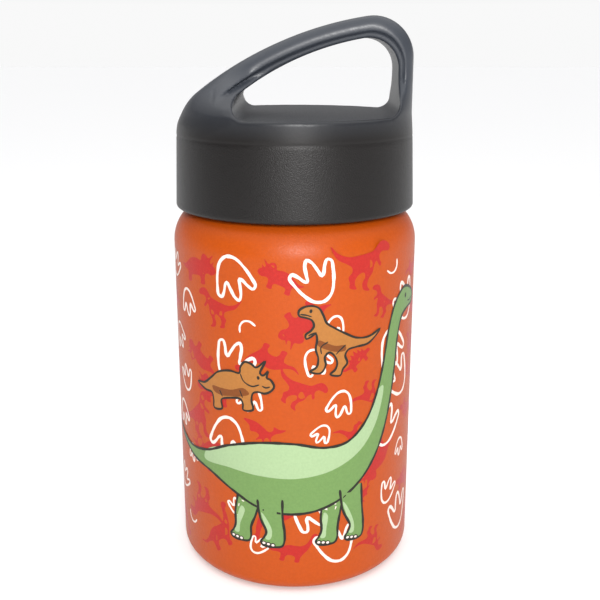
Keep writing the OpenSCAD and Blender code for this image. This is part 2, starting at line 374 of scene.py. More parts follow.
def silicone():
    """Milky rubber with a dusty, almost matt skin."""
    finish = Finish("silicone", srgb(214, 216, 212), 0.55, specular=0.4)
    finish.set("Subsurface Weight", 0.15)
    finish.set("Subsurface Radius", (0.002, 0.002, 0.002))
    finish.bumps(finish.noise(0.3, 2.0), 0.01)
    finish.gloss(finish.noise(2.0, 3.0), 0.48, 0.64)
    finish.tone(finish.between(finish.noise(5.0), 0, 1), 0.96, 1.02)
    return finish.material


def foam():
    """Closed-cell foam."""
    finish = Finish("foam", srgb(226, 222, 208), 0.9, specular=0.2)
    cells = finish.add("ShaderNodeTexVoronoi")
    cells.inputs["Scale"].default_value = 1 / (0.9 * MM)
    finish.link(finish.place, cells.inputs["Vector"])
    finish.bumps(cells.outputs["Distance"], 0.15)
    finish.tone(cells.outputs["Distance"], 0.9, 1.03)
    return finish.material


def dark_grain(name, colour, roughness):
    """Sintered or fused lump: coarse, uneven and dull."""
    finish = Finish(name, colour, roughness)
    lumps = finish.noise(0.4, 5.0)
    finish.bumps(lumps, 0.06)
    finish.gloss(lumps, roughness - 0.1, roughness + 0.15)
    finish.tone(finish.between(lumps, 0, 1), 0.8, 1.2)
    return finish.material


SKIRT_LINE_Z = CAP_Z + 20.6

ORANGE = powder_coat("powder_coat", srgb(170, 69, 6))
CAP_BLACK = cap_plastic()
LINER_BLACK = plain_plastic("liner_plastic", srgb(44, 44, 46))
BARE_STEEL = steel("satin_steel", srgb(205, 204, 202), 0.22, 0.34, (6, 6, 1), 0.004)
DRAWN_STEEL = steel("drawn_steel", srgb(198, 197, 194), 0.26, 0.40, (1, 1, 12), 0.005)
SILICONE = silicone()
FOAM = foam()
FOIL = steel("crinkled_foil", srgb(224, 224, 226), 0.12, 0.3, (9, 9, 14), 0.12)
GETTER = dark_grain("getter_pellet", srgb(92, 92, 96), 0.7)
SOLDER = dark_grain("solder_glass", srgb(84, 86, 90), 0.35)


# ---------------------------------------------------------------- flask

SHOULDER_R = 12.0
SHOULDER_DEG = 52.0
NECK_THREAD_Z = WALL_TOP + 14.5
PAINT_END_Z = WALL_TOP + 10.8


def bent_wall(offset):
    """The two corners of the shoulder line, moved inwards by offset: on the wall and at the neck."""
    sweep = math.radians(SHOULDER_DEG)
    centre = np.array([BODY_R - SHOULDER_R, WALL_TOP])
    normal = np.array([math.cos(sweep), math.sin(sweep)])
    foot = centre + normal * (SHOULDER_R - offset)
    along = np.array([normal[1], -normal[0]])
    to_wall = foot + along * ((BODY_R - offset - foot[0]) / along[0])
    to_neck = foot + along * ((NECK_R - offset - foot[0]) / along[0])
    return to_wall, to_neck


def painted_shell():
    """Outer vessel: wall, shoulder and neck with the rolled thread, painted below the neck."""
    out_wall, out_neck = bent_wall(0)
    in_wall, in_neck = bent_wall(SHEET)
    line = rounded([
        (BODY_R, SEAM_Z), (*out_wall, SHOULDER_R), (*out_neck, 1.8), (NECK_R, RIM_Z, RIM_ROLL),
        (NECK_R - RIM_ROLL, RIM_Z), (NECK_R - RIM_ROLL, RIM_Z - SHEET), (NECK_R - SHEET, RIM_Z - SHEET, 0.25),
        (*in_neck, 1.4), (*in_wall, SHOULDER_R - SHEET), (BODY_R - SHEET, SEAM_Z)], steps=16)
    line = refine(line, out_neck[1], RIM_Z, 0.35)
    bead = thread(NECK_R, 1, NECK_THREAD_Z, 0, 1.5)

    def paint(r, z):
        return 0 if z < PAINT_END_Z and r > NECK_R - SHEET / 2 else 1
    piece = turned("painted_shell", line, [ORANGE, BARE_STEEL], 384, bead, paint)
    return show(piece, "flask", "powder_coat", "outer_shell")


def bottom_cup():
    """Painted cup that closes the bottom, with its foot ring and the recess under it."""
    recess_z = 2.2
    line = rounded([
        (BODY_R, SEAM_Z), (BODY_R, 0, 4.0), (26.8, 0, 0.7), (25.0, recess_z, 0.7), (0.8, recess_z),
        (0.8, recess_z + SHEET), (25.3, recess_z + SHEET, 0.5), (27.1, SHEET, 0.5),
        (BODY_R - SHEET, SHEET, 3.4), (BODY_R - SHEET, SEAM_Z)], steps=12)
    return show(turned("bottom_cup", line, [ORANGE], 384), "flask", "powder_coat", "outer_base")


def bottom_disc():
    """Spun steel disc in the recess, with turned rings and a dished middle."""
    top = 2.18
    t = 0.5
    line = rounded([
        (0, top - 0.45 - t), (7.9, top - 0.45 - t, 0.6), (9.4, top - t, 0.6), (15.2, top - t, 0.3),
        (15.7, top - t - 0.22, 0.25), (16.6, top - t - 0.22, 0.25), (17.1, top - t, 0.3),
        (23.5, top - t, 0.3), (23.8, top - 0.1, 0.1), (23.8, top), (9.2, top, 0.6), (7.8, top - 0.43, 0.6),
        (0, top - 0.43)], steps=5)
    return show(turned("bottom_disc", line, [BARE_STEEL], 192), "flask", "raw_steel", "base_cover")


def inner_vessel():
    """Steel vessel that holds the drink: drawn wall, shoulder, throat and the smooth drinking rim."""
    r, t = LINER_HI[0], LINER_SHEET
    throat = NECK_R - SHEET - 0.7
    bend = 9.0
    centre = np.array([r - bend, WALL_TOP - 1])
    turn = math.acos((throat - centre[0]) / bend)
    tangent = bend * math.tan(turn / 2)

    def corners(offset):
        wall = np.array([r - offset, centre[1] + tangent - offset * math.tan(turn / 2)])
        end = centre + (bend - offset) * np.array([math.cos(turn), math.sin(turn)])
        along = np.array([math.sin(turn), -math.cos(turn)])
        return wall, end + along * ((throat - offset - end[0]) / along[0])
    out_wall, out_throat = corners(0)
    in_wall, in_throat = corners(t)
    lip = NECK_R - RIM_ROLL - 0.01
    line = rounded([
        (r, LINER_LO[2]), (*out_wall, bend), (*out_throat, 2.5), (throat, RIM_Z - SHEET, 0.2),
        (lip, RIM_Z - SHEET), (lip, RIM_Z), (throat - t, RIM_Z, 0.55), (*in_throat, 3.0),
        (*in_wall, bend - t), (r - t, LINER_LO[2])], steps=14)
    piece = turned("inner_vessel", line, [DRAWN_STEEL], 256)
    return show(piece, "flask", "raw_steel", "inner_liner")


def inner_bottom():
    """Dished bottom of the inner vessel."""
    r, t = LINER_HI[0], LINER_SHEET
    z, top = POUR_IN_LO[2], POUR_IN_HI[2]
    line = rounded([
        (0, z + 2), (10, z + 1.6, 20), (20, z + 0.3, 12), (r, z, 5), (r, top), (r - t, top),
        (r - t, z + t, 4.5), (20, z + 0.3 + t, 12), (10, z + 1.6 + t, 20), (0, z + 2 + t)], steps=10)
    return show(turned("inner_bottom", line, [DRAWN_STEEL], 256), "flask", "raw_steel", "inner_base")


# ---------------------------------------------------------------- cap

def distance_2d(line, x, z):
    """Signed distance, negative inside, from points (x, z) to a closed polygon."""
    x, z = np.asarray(x, float), np.asarray(z, float)
    best = np.full(x.shape, np.inf)
    inside = np.zeros(x.shape, bool)
    for a, b in zip(line, np.roll(line, -1, axis=0)):
        ex, ez = b - a
        wx, wz = x - a[0], z - a[1]
        t = np.clip((wx * ex + wz * ez) / max(ex * ex + ez * ez, 1e-12), 0, 1)
        best = np.minimum(best, (wx - t * ex) ** 2 + (wz - t * ez) ** 2)
        crosses = (a[1] > z) != (b[1] > z)
        if ez != 0:
            inside ^= crosses & (x < a[0] + ex * (z - a[1]) / ez)
    return np.where(inside, -1, 1) * np.sqrt(best)


def meet(a, b, radius):
    """Intersection of two distance fields with a round edge."""
    u, v = np.maximum(a + radius, 0), np.maximum(b + radius, 0)
    return np.minimum(np.maximum(a, b), -radius) + np.sqrt(u * u + v * v)


def ease(t):
    """Smooth rise from 0 at t = 0 to 1 at t = 1."""
    t = np.clip(t, 0, 1)
    return t * t * (3 - 2 * t)


def arc(centre, radius, start_deg, end_deg, steps):
    """Points along an arc."""
    angles = np.radians(np.linspace(start_deg, end_deg, steps))
    return [(centre[0] + radius * math.cos(a), centre[1] + radius * math.sin(a)) for a in angles]


class Outline:
    """Closed line in the X-Z plane: up on the left, over a long crown, round a corner and down on
    the right. Its signed distance is kept as a table and read by interpolation."""
    PITCH = 0.2
    LOW = np.array([-41.0, 106.0])
    HIGH = np.array([41.0, 170.0])

    def __init__(self, left_x, right_x, top, left_r, crown_r, corner_r, slope_deg, foot_z, foot_r):
        slope = math.radians(slope_deg)
        corner = np.array([right_x - corner_r, top - corner_r])
        crown = corner + (corner_r - crown_r) * np.array([-math.sin(slope), math.cos(slope)])
        turn = math.acos((left_x + left_r - crown[0]) / (crown_r - left_r))
        left = crown + (crown_r - left_r) * np.array([math.cos(turn), math.sin(turn)])
        turn = math.degrees(turn)
        line = (arc(left, left_r, 180, turn, 16) + arc(crown, crown_r, turn, 90 + slope_deg, 26)[1:]
                + arc(corner, corner_r, 90 + slope_deg, 0, 16)[1:]
                + arc((right_x - foot_r[1], foot_z + foot_r[1]), foot_r[1], 0, -90, 9)
                + arc((left_x + foot_r[0], foot_z + foot_r[0]), foot_r[0], -90, -180, 9))
        axes = [np.arange(a, b, self.PITCH) for a, b in zip(self.LOW, self.HIGH)]
        self.table = distance_2d(np.array(line), *np.meshgrid(*axes, indexing="ij"))

    def distance(self, x, z):
        """Signed distance at points, read from the table."""
        rows, columns = self.table.shape
        u = np.clip((x - self.LOW[0]) / self.PITCH, 0, rows - 1.001)
        v = np.clip((z - self.LOW[1]) / self.PITCH, 0, columns - 1.001)
        i, j = u.astype(int), v.astype(int)
        u, v = u - i, v - j
        t = self.table
        return ((1 - u) * ((1 - v) * t[i, j] + v * t[i, j + 1])
                + u * ((1 - v) * t[i + 1, j] + v * t[i + 1, j + 1]))


LOOP_TOP = CAP_HI[2]
LOOP_OUTER = Outline(-34.4, 34.3, LOOP_TOP, 15.6, 105, 11.6, 8.2, CAP_Z - 3, (0.1, 0.1))
LOOP_RIDGE = Outline(-22.4, 30.75, LOOP_TOP - 4.4, 8, 92, 9.4, 9.4, DECK_Z - 0.6, (7.5, 3.6))
LOOP_HOLE = Outline(-16.4, 29.25, LOOP_TOP - 6.0, 3.6, 80.5, 8.4, 9.6, DECK_Z, (3.2, 3.6))
LOOP_HALF = 10.8
LOOP_EDGE_R = 3.3
FLARE_H = 14.0
BLEND_R = 5.0
RIM_STEP = 1.15
RIM_FLARE_H = 12.5
RIDGE_R = 0.85
RIM_EDGE_R = 0.8
SLEEVE_RIB_R = SLEEVE_HI[0] - 0.9


def flare(h, extra, height):
    """Half thickness of the loop at a height over the deck, and how steeply it changes."""
    t = np.clip(h / height, 0, 1)
    half = LOOP_HALF + extra * (1 - t) ** 3 * (1 + 3 * t)
    return half, np.sqrt(1 + (12 * extra * t * (1 - t) ** 2 / height) ** 2)


def cap_field(points):
    """Distance field of the cap moulding, negative inside the plastic."""
    x, y, z = points[..., 0], points[..., 1], points[..., 2]
    r, depth, h = np.hypot(x, y), np.abs(y), z - DECK_Z
    draft = (CAP_R - CAP_TOP_R) / (DECK_Z - CAP_Z)
    groove = 0.08 * np.exp(-((z - SKIRT_LINE_Z) / 0.3) ** 2)
    reach = CAP_R - draft * np.clip(z - CAP_Z, 0, DECK_Z - CAP_Z)
    wall = r - reach + groove

    # The loop's outer line follows the wall's curve at the sides, and lets the wall be at the front
    hug = CAP_TOP_R / np.sqrt(reach ** 2 - np.minimum(depth, 0.87 * reach) ** 2)
    front = 1 - ease((np.abs(x) / np.maximum(r, 1) - 0.3) / 0.5)
    spare = 1.6 * front * ease((8 - h) / 8) + 0.08 * np.maximum(-h, 0)
    shell = meet(wall, LOOP_OUTER.distance(x * hug, z) - spare, 0.4)

    # The loop's faces flare out into the skirt's wall below FLARE_H
    wall_y = np.sqrt(np.maximum(reach ** 2 - x * x, 1.0))
    extra = np.maximum(wall_y + BLEND_R - LOOP_HALF, 0)
    half, steep = flare(h, extra, FLARE_H)
    soft = BLEND_R + (LOOP_EDGE_R - BLEND_R) * ease((h - 1) / 12)
    solid = meet(shell, (depth - half) / steep, soft)

    # Rim round the finger hole, stepped back from the ridge and scooped out at the feet
    half, steep = flare(h, extra, RIM_FLARE_H)
    back = RIM_STEP * ease((h + 0.5) / 5)
    recess = meet(LOOP_RIDGE.distance(x, z), (half - back - depth) / steep, 0.6)
    solid = meet(solid, -recess, RIDGE_R)
    solid = meet(solid, -LOOP_HOLE.distance(x, z), RIM_EDGE_R)
    solid = meet(solid, CAP_Z - z, 0.9)

    cavity = meet(r - CAP_BORE_R, z - CEILING_Z, 0.5)
    snap = np.hypot(r - CAP_BORE_R, z - CAP_Z - 0.95) - 0.45
    rib = meet(np.abs(r - SLEEVE_RIB_R) - 0.5, SLEEVE_HI[2] + 0.05 - z, 0.1)
    hollow = np.maximum(np.maximum(cavity, -snap), -rib)
    return np.maximum(solid, -hollow)


def normal_step(points, probe=0.05):
    """Newton step that carries points onto the cap's surface."""
    here = cap_field(points)
    slope = np.empty_like(points)
    for axis in range(3):
        nudge = np.zeros(3)
        nudge[axis] = probe
        slope[:, axis] = (cap_field(points + nudge) - cap_field(points - nudge)) / (2 * probe)
    square = np.maximum((slope ** 2).sum(axis=1), 0.05)
    return np.clip((here / square)[:, None] * slope, -0.3, 0.3)


def cap_moulding(pitch=0.55):
    """Skirt, deck and carry loop as one moulding, meshed from its distance field."""
    margin = 2 * pitch
    lo = np.array([CAP_LO[0] - margin, CAP_LO[1] - margin, CAP_Z - margin])
    hi = np.array([CAP_HI[0] + margin, CAP_HI[1] + margin, LOOP_TOP + margin])
    axes = [np.arange(a, b + pitch, pitch) for a, b in zip(lo, hi)]
    field = cap_field(np.stack(np.meshgrid(*axes, indexing="ij"), axis=-1)).astype(np.float32)
    grid = openvdb.FloatGrid(99.0)
    grid.copyFromArray(field)
    points, quads = grid.convertToQuads(0.0)
    points = points.astype(float) * pitch + np.array([a[0] for a in axes])
    for _ in range(3):
        points -= normal_step(points)
    piece = add_mesh("cap_moulding", points, quads, [CAP_BLACK], crease_deg=60)
    return show(piece, "cap", "cap_plastic", "cap_shell")


def threaded_sleeve():
    """Inner sleeve with the internal thread, the seal's seat and the wall of the plug."""
    out_r = SLEEVE_HI[0]
    in_r = out_r - 1.7
    low, top = SLEEVE_LO[2], SLEEVE_HI[2]
    seat = top - 1.8
    plug_r = PLUG_HI[0]
    plug_wall = 1.4
    plug_foot = PLUG_LO[2] + 3.2
    line = rounded([
        (in_r + 0.5, low, 0.2), (out_r, low, 0.3), (out_r, top, 0.6), (plug_r - plug_wall, top, 0.3),
        (plug_r - plug_wall, plug_foot, 0.2), (plug_r, plug_foot, 0.2), (plug_r, seat, 0.1),
        (in_r, seat, 0.4), (in_r, low + 0.7, 0.3)], steps=5)
    line = refine(line, low, seat, 0.35)
    bead = thread(in_r, -1, NECK_THREAD_Z + LEAD / 4, -90, 1.25)
    piece = turned("threaded_sleeve", line, [LINER_BLACK], 320, bead)
    return show(piece, "cap", "liner_plastic", "cap_liner")


def plug_end():
    """Shallow cup that closes the plug from below, with two moulded rings."""
    r = PLUG_HI[0]
    z, top = PLUG_LO[2], PLUG_HI[2]
    line = rounded([
        (0, z + 0.35), (9, z + 0.35, 0.3), (9.6, z, 0.3), (11, z, 0.3), (11.6, z + 0.35, 0.3),
        (21.4, z + 0.35, 0.3), (22, z, 0.3), (r - 0.1, z, 1.3), (r, z + 1.4), (r, top, 0.15),
        (r - 0.6, top, 0.15), (r - 0.6, z + 2.2, 0.2), (FOAM_HI[0] + 0.05, z + 1.7, 0.2),
        (0, z + 1.7)], steps=5)
    return show(turned("plug_end", line, [LINER_BLACK], 256), "cap", "liner_plastic", "plug_cover")


def sealing_ring():
    """Silicone ring with two raised lips on each face."""
    r0 = SEAL_HI[0] - 3.85
    r1 = SEAL_HI[0]
    z0, z1 = SEAL_LO[2], SEAL_HI[2]
    lips = ((r0 + 0.55, 0.3), (r1 - 0.55, 0.3))
    groove = 0.28

    def face(z, inward):
        first, second = lips[0][0], lips[1][0]
        return [(first + 0.35, z, 0.2), (first + 0.75, z + inward * groove, 0.2),
                (second - 0.75, z + inward * groove, 0.2), (second - 0.35, z, 0.2)]
    line = rounded([(r0, z0, 0.35)] + face(z0, 1) + [(r1, z0, 0.4), (r1, z1, 0.4)]
                   + face(z1, -1)[::-1] + [(r0, z1, 0.35)], steps=5)
    return show(turned("sealing_ring", line, [SILICONE], 256), "seal", "silicone", "seal_ring")


# ---------------------------------------------------------------- printed pattern
# Shapes are drawn in (u, z): u is the arc length round the wall from the middle of the front,
# positive to the right, and z is the height. Small shapes are drawn about (0, 0) and placed.

INK = 0.012
GIRTH = 2 * math.pi * BODY_R

FOOTPRINT = [(0, -5.4), (2.4, -4.4), (4.2, -1.6), (5.3, 1.6), (5.6, 3.4), (4.7, 4.1), (3.6, 3.0),
             (2.6, 1.3), (1.9, 0.9), (1.5, 2.6), (0.9, 5.0), (0, 6.0), (-0.9, 5.0), (-1.5, 2.6),
             (-1.9, 0.9), (-2.6, 1.3), (-3.6, 3.0), (-4.7, 4.1), (-5.6, 3.4), (-5.3, 1.6), (-4.2, -1.6),
             (-2.4, -4.4)]
THEROPOD = [(5.2, 6.2), (4.6, 6.9), (3.4, 7.3), (2.4, 7.1), (1.6, 6.2), (0.8, 5.1), (-0.6, 4.5),
            (-2.4, 3.9), (-4.4, 3.4), (-6.6, 3.7), (-8.6, 4.9), (-6.8, 2.7), (-4.6, 2.0), (-3.4, 1.5),
            (-3.1, 0.6), (-3.7, -0.5), (-3.2, -1.5), (-3.0, -2.5), (-1.4, -2.5), (-2.0, -1.7),
            (-2.1, -0.7), (-1.4, 0.4), (-0.5, 0.8), (0.0, 0.0), (-0.4, -1.2), (0.1, -2.5), (1.7, -2.5),
            (0.9, -1.7), (0.9, -0.4), (1.6, 1.0), (1.7, 2.4), (2.1, 3.3), (2.7, 2.7), (3.3, 2.3),
            (3.5, 2.9), (2.9, 3.6), (2.6, 4.4), (3.1, 5.2), (4.0, 5.4), (5.0, 5.5)]
LONGNECK = [(-7.6, 6.5), (-7.3, 7.2), (-6.4, 7.4), (-5.7, 6.8), (-5.2, 5.4), (-4.4, 3.8), (-3.0, 2.7),
            (-1.0, 2.5), (1.2, 2.6), (3.0, 2.0), (4.8, 0.9), (6.8, 0.4), (8.8, 1.1), (7.0, -0.4),
            (5.0, -0.4), (3.9, -0.7), (3.7, -2.0), (3.8, -3.4), (2.3, -3.4), (2.1, -2.0), (1.4, -1.2),
            (-0.6, -1.3), (-1.2, -2.0), (-1.1, -3.4), (-2.6, -3.4), (-2.8, -1.8), (-3.6, -0.4),
            (-4.8, 1.2), (-5.9, 3.6), (-6.5, 5.6), (-7.3, 6.0)]
PLATEBACK = [(-5.2, 0.0), (-4.9, 0.8), (-3.8, 1.0), (-3.1, 1.3), (-3.0, 2.5), (-2.2, 1.8), (-1.7, 3.4),
             (-1.0, 2.3), (-0.3, 4.0), (0.4, 2.5), (1.2, 3.6), (1.7, 2.1), (2.6, 2.8), (2.9, 1.5),
             (3.9, 1.1), (5.4, 1.4), (6.8, 2.4), (5.7, 0.6), (4.2, 0.0), (3.4, -0.5), (3.4, -2.1),
             (2.0, -2.1), (1.9, -0.9), (0.0, -0.8), (-1.6, -0.7), (-1.6, -2.1), (-2.9, -2.1),
             (-3.0, -0.7), (-3.9, -0.4), (-4.8, -0.5)]
GLIDER = [(-4.8, 1.3), (-3.3, 1.8), (-2.3, 2.7), (-1.9, 1.9), (-0.9, 1.7), (0.1, 3.0), (1.6, 4.7),
          (4.3, 5.8), (3.3, 4.0), (3.4, 2.7), (2.2, 2.2), (1.6, 1.3), (2.8, 0.4), (1.2, 0.3),
          (1.7, -1.5), (0.7, -3.9), (-0.5, -1.8), (-1.0, 0.3), (-2.2, 0.9), (-3.5, 0.9)]
THREEHORN = [(6.2, 1.0), (5.8, 2.1), (5.3, 2.4), (5.7, 3.5), (4.8, 2.8), (4.4, 3.2), (5.5, 5.0),
             (3.9, 4.1), (3.2, 4.7), (2.2, 5.0), (1.4, 4.2), (1.1, 3.3), (-0.6, 3.6), (-2.8, 3.3),
             (-4.4, 2.3), (-6.2, 1.3), (-7.8, 1.3), (-6.0, 0.2), (-4.7, -0.1), (-4.5, -1.2),
             (-4.6, -2.5), (-3.0, -2.5), (-2.9, -1.1), (-1.2, -0.7), (0.6, -0.8), (0.9, -1.6),
             (0.8, -2.5), (2.4, -2.5), (2.4, -1.0), (2.8, 0.1), (3.6, 0.3), (4.6, 0.0), (5.6, 0.3)]
CRESCENT = [(-3.4, 1.6), (-2.0, -0.6), (0.2, -1.3), (2.2, -0.2), (3.2, 1.9)]
HOOK = [(-5.2, 1.6), (-2.8, -0.4), (0.6, -1.4), (3.6, -1.0), (5.0, 0.8), (4.2, 2.6), (2.9, 2.1)]


def smooth_path(points, closed=True, pitch=0.45):
    """Even steps along a centripetal Catmull-Rom curve through the points."""
    p = np.asarray(points, float)
    if closed:
        p = np.vstack([p[-1:], p, p[:2]])
    else:
        p = np.vstack([2 * p[:1] - p[1:2], p, 2 * p[-1:] - p[-2:-1]])
    dense = []
    for a, b, c, d in zip(p, p[1:], p[2:], p[3:]):
        knots = np.cumsum([0] + [max(math.dist(s, e), 1e-6) ** 0.5 for s, e in ((a, b), (b, c), (c, d))])
        for t in np.linspace(knots[1], knots[2], 12, endpoint=False):
            def blend(s, e, i, j):
                return s + (e - s) * (t - knots[i]) / (knots[j] - knots[i])
            ab, bc, cd = blend(a, b, 0, 1), blend(b, c, 1, 2), blend(c, d, 2, 3)
            dense.append(blend(blend(ab, bc, 0, 2), blend(bc, cd, 1, 3), 1, 2))
    dense = np.array(dense + [dense[0] if closed else p[-2]])
    length = np.concatenate([[0], np.cumsum(np.hypot(*np.diff(dense, axis=0).T))])
    count = max(8, int(round(length[-1] / pitch)))
    at = np.linspace(0, length[-1], count + 1)[: count if closed else None]
    return np.stack([np.interp(at, length, dense[:, k]) for k in (0, 1)], axis=1)


def placed(shape, u, z, size=1.0, turn_deg=0.0, mirror=False):
    """A small shape moved to (u, z), scaled, turned anticlockwise and optionally mirrored."""
    p = np.asarray(shape, float) * size * np.array([-1 if mirror else 1, 1])
    a = math.radians(turn_deg)
    return p @ np.array([[math.cos(a), math.sin(a)], [-math.sin(a), math.cos(a)]]) + (u, z)


def oval(middle, half_width, half_height, count):
    """Points round an oval."""
    angles = np.linspace(0, 2 * math.pi, count, endpoint=False)
    return [(middle[0] + half_width * math.cos(a), middle[1] + half_height * math.sin(a)) for a in angles]


def wrapped(flat, height):
    """Points of the flat drawing on the wall, at a height above the coat."""
    r = BODY_R + height
    a = flat[:, 0] / BODY_R
    return np.stack([r * np.sin(a), -r * np.cos(a), flat[:, 1]], axis=1)


class Print:
    """All the ink of one colour: closed films that lie on the wall."""

    def __init__(self, name, material):
        self.name, self.material = name, material
        self.points, self.faces = [], []

    def add(self, flat, triangles, rim, level):
        """One film with its top, its underside and a wall round its rim."""
        start = sum(len(p) for p in self.points)
        count = len(flat)
        self.points += [wrapped(flat, (level + 1) * INK), wrapped(flat, (level + 0.15) * INK)]
        top = [[start + i for i in t] for t in triangles]
        under = [[start + count + i for i in reversed(t)] for t in triangles]
        wall = [[start + b, start + a, start + count + a, start + count + b] for a, b in rim]
        self.faces += top + under + wall

    def fill(self, outline, level, pitch=1.3):
        """Solid shape inside a closed outline."""
        edge = [Vector(p) for p in outline]
        lo, hi = outline.min(axis=0), outline.max(axis=0)
        gu, gz = np.meshgrid(np.arange(lo[0], hi[0], pitch), np.arange(lo[1], hi[1], 2.4 * pitch))
        grid = np.stack([gu.ravel(), gz.ravel()], axis=1)
        grid = grid[distance_2d(outline, grid[:, 0], grid[:, 1]) < -0.35 * pitch]
        loop = list(range(len(edge)))
        edges = [(i, (i + 1) % len(edge)) for i in loop]
        verts, _, faces, *_ = delaunay_2d_cdt(edge + [Vector(p) for p in grid], edges, [loop], 1, 1e-5)
        flat = np.array([tuple(v) for v in verts])
        self.add(flat, faces, rim_edges(faces), level)

    def stroke(self, path, width, level, closed=True):
        """Pen line of a slightly uneven width along an even path."""
        p = np.asarray(path)
        if closed:
            ahead, behind = np.roll(p, -1, axis=0), np.roll(p, 1, axis=0)
        else:
            ahead, behind = np.vstack([p[1:], p[-1:]]), np.vstack([p[:1], p[:-1]])
        along = ahead - behind
        along /= np.maximum(np.hypot(*along.T), 1e-9)[:, None]
        across = np.stack([-along[:, 1], along[:, 0]], axis=1)
        steps = np.arange(len(p))
        half = width / 2 * (1 + 0.13 * np.sin(steps * 0.31 + p[0, 0]) + 0.07 * np.sin(steps * 0.83))
        if not closed:
            ends = np.minimum(steps, len(p) - 1 - steps) / 2.0
            half = half * np.sqrt(np.clip(0.25 + ends, 0, 1))
        flat = np.vstack([p + across * half[:, None], p - across * half[:, None]])
        n = len(p)
        rows = range(n if closed else n - 1)
        quads = [[i, n + i, n + (i + 1) % n, (i + 1) % n] for i in rows]
        self.add(flat, quads, rim_edges(quads), level)

    def finish(self):
        """Makes the colour's one mesh."""
        piece = add_mesh(self.name, np.vstack(self.points), self.faces, [self.material], crease_deg=50)
        return show(piece, "flask", "powder_coat")


def rim_edges(faces):
    """Directed edges that only one face uses."""
    used = {}
    for face in faces:
        for a, b in zip(face, list(face[1:]) + [face[0]]):
            used[(a, b)] = used.get((a, b), 0) + 1
    return [(a, b) for a, b in used if (b, a) not in used]


INKS = {
    "red": Print("print_red", ink("ink_red", srgb(166, 34, 28), 0.08)),
    "white": Print("print_white", ink("ink_white", srgb(222, 208, 200), 0.03)),
    "green": Print("print_green", ink("ink_green", srgb(102, 134, 76))),
    "pale_green": Print("print_pale_green", ink("ink_pale_green", srgb(150, 174, 132), 0.04)),
    "amber": Print("print_amber", ink("ink_amber", srgb(160, 104, 48))),
    "brown": Print("print_brown", ink("ink_brown", srgb(116, 62, 22))),
    "black": Print("print_black", ink("ink_black", srgb(36, 34, 28), 0.02)),
}

# Scattered marks: rows up the wall and columns round it
SCATTER_ROWS, SCATTER_COLUMNS = 8, 18
SCATTER_LOW_Z, SCATTER_STEP_Z = 15.0, 11.5


def scatter():
    """Red shapes and footprint outlines in turn on a loose grid, with a pen mark here and there."""
    chance = random.Random(11)
    for row in range(SCATTER_ROWS):
        for column in range(SCATTER_COLUMNS):
            u = GIRTH * ((column + 0.5 * (row % 2)) / SCATTER_COLUMNS - 0.5) + chance.uniform(-1.8, 1.8)
            z = SCATTER_LOW_Z + row * SCATTER_STEP_Z + chance.uniform(-1.6, 1.6)
            turn, mirror = chance.uniform(-40, 40) + chance.choice((0, 180)), chance.random() < 0.5
            if (row + column) % 2:
                shape = chance.choice((LONGNECK, THEROPOD, PLATEBACK, THREEHORN, GLIDER))
                path = placed(shape, u, z, chance.uniform(0.9, 1.45), turn, mirror)
                INKS["red"].fill(smooth_path(path), 0)
            elif chance.random() < 0.12:
                path = placed(chance.choice((CRESCENT, HOOK)), u, z, 0.8, turn, mirror)
                INKS["white"].stroke(smooth_path(path, closed=False), 0.6, 1, closed=False)
            else:
                size = chance.choice((0.5, 0.7, 1.1))
                INKS["white"].stroke(smooth_path(placed(FOOTPRINT, u, z, size, turn)), 0.35 + 0.5 * size, 1)


# The large long-necked animal, drawn at the front with its feet at STANDING_Z
STANDING_Z = 15.0
BACK_LINE = [(-48.0, 43.6), (-38.0, 40.2), (-29.0, 41.4), (-20.0, 45.4), (-10.0, 48.0), (0.0, 48.2),
             (9.0, 46.6), (16.0, 47.6), (22.0, 53.0), (26.0, 61.0), (28.5, 70.0), (30.4, 79.0)]
HEAD_LINE = [(33.4, 86.0), (38.0, 89.4), (42.6, 88.6), (46.4, 85.8), (45.8, 83.4), (41.0, 82.6),
             (37.4, 81.0)]
UNDER_LINE = [(35.2, 76.0), (34.0, 68.0), (32.4, 59.0), (30.0, 50.0), (26.4, 42.0), (21.6, 35.6),
              (15.0, 30.4), (7.0, 27.0), (-2.0, 26.0), (-11.0, 27.6), (-19.0, 31.4), (-27.0, 35.0),
              (-37.0, 37.4)]
STRIPE_LINE = [(28.4, 62.0), (26.4, 52.6), (20.8, 44.6), (12.0, 39.6), (1.0, 37.4), (-10.0, 37.6),
               (-20.0, 38.4), (-30.0, 38.4)]
LEGS_BEHIND = [(-13.4, 31.0, -16.4, 15.8, 7.4, 6.6), (11.4, 30.0, 9.6, 15.6, 6.4, 6.4)]
LEGS_IN_FRONT = [(-7.2, 30.0, -6.4, 15.2, 7.4, 6.8), (17.0, 32.6, 18.4, 15.6, 7.2, 6.0)]


def leg_path(top_u, top_z, foot_u, foot_z, top_w, foot_w):
    """Open path down one side of a leg, round its foot and up the other side."""
    mid_u, mid_z = (top_u + foot_u) / 2, (top_z + foot_z) / 2
    toe = foot_u - foot_w / 2
    heel = foot_u + foot_w / 2
    return [(top_u - top_w / 2, top_z), (mid_u - top_w * 0.44, mid_z + 1.5), (toe + 1.5, foot_z + 4.6),
            (toe + 0.7, foot_z + 2.6), (toe - 0.2, foot_z + 1.2), (toe + 0.6, foot_z + 0.1),
            (foot_u, foot_z - 0.2), (heel - 0.7, foot_z + 0.2), (heel, foot_z + 1.6),
            (heel + 0.1, foot_z + 5.0), (mid_u + top_w * 0.46, mid_z + 1.5),
            (top_u + top_w / 2, top_z + 0.6)]


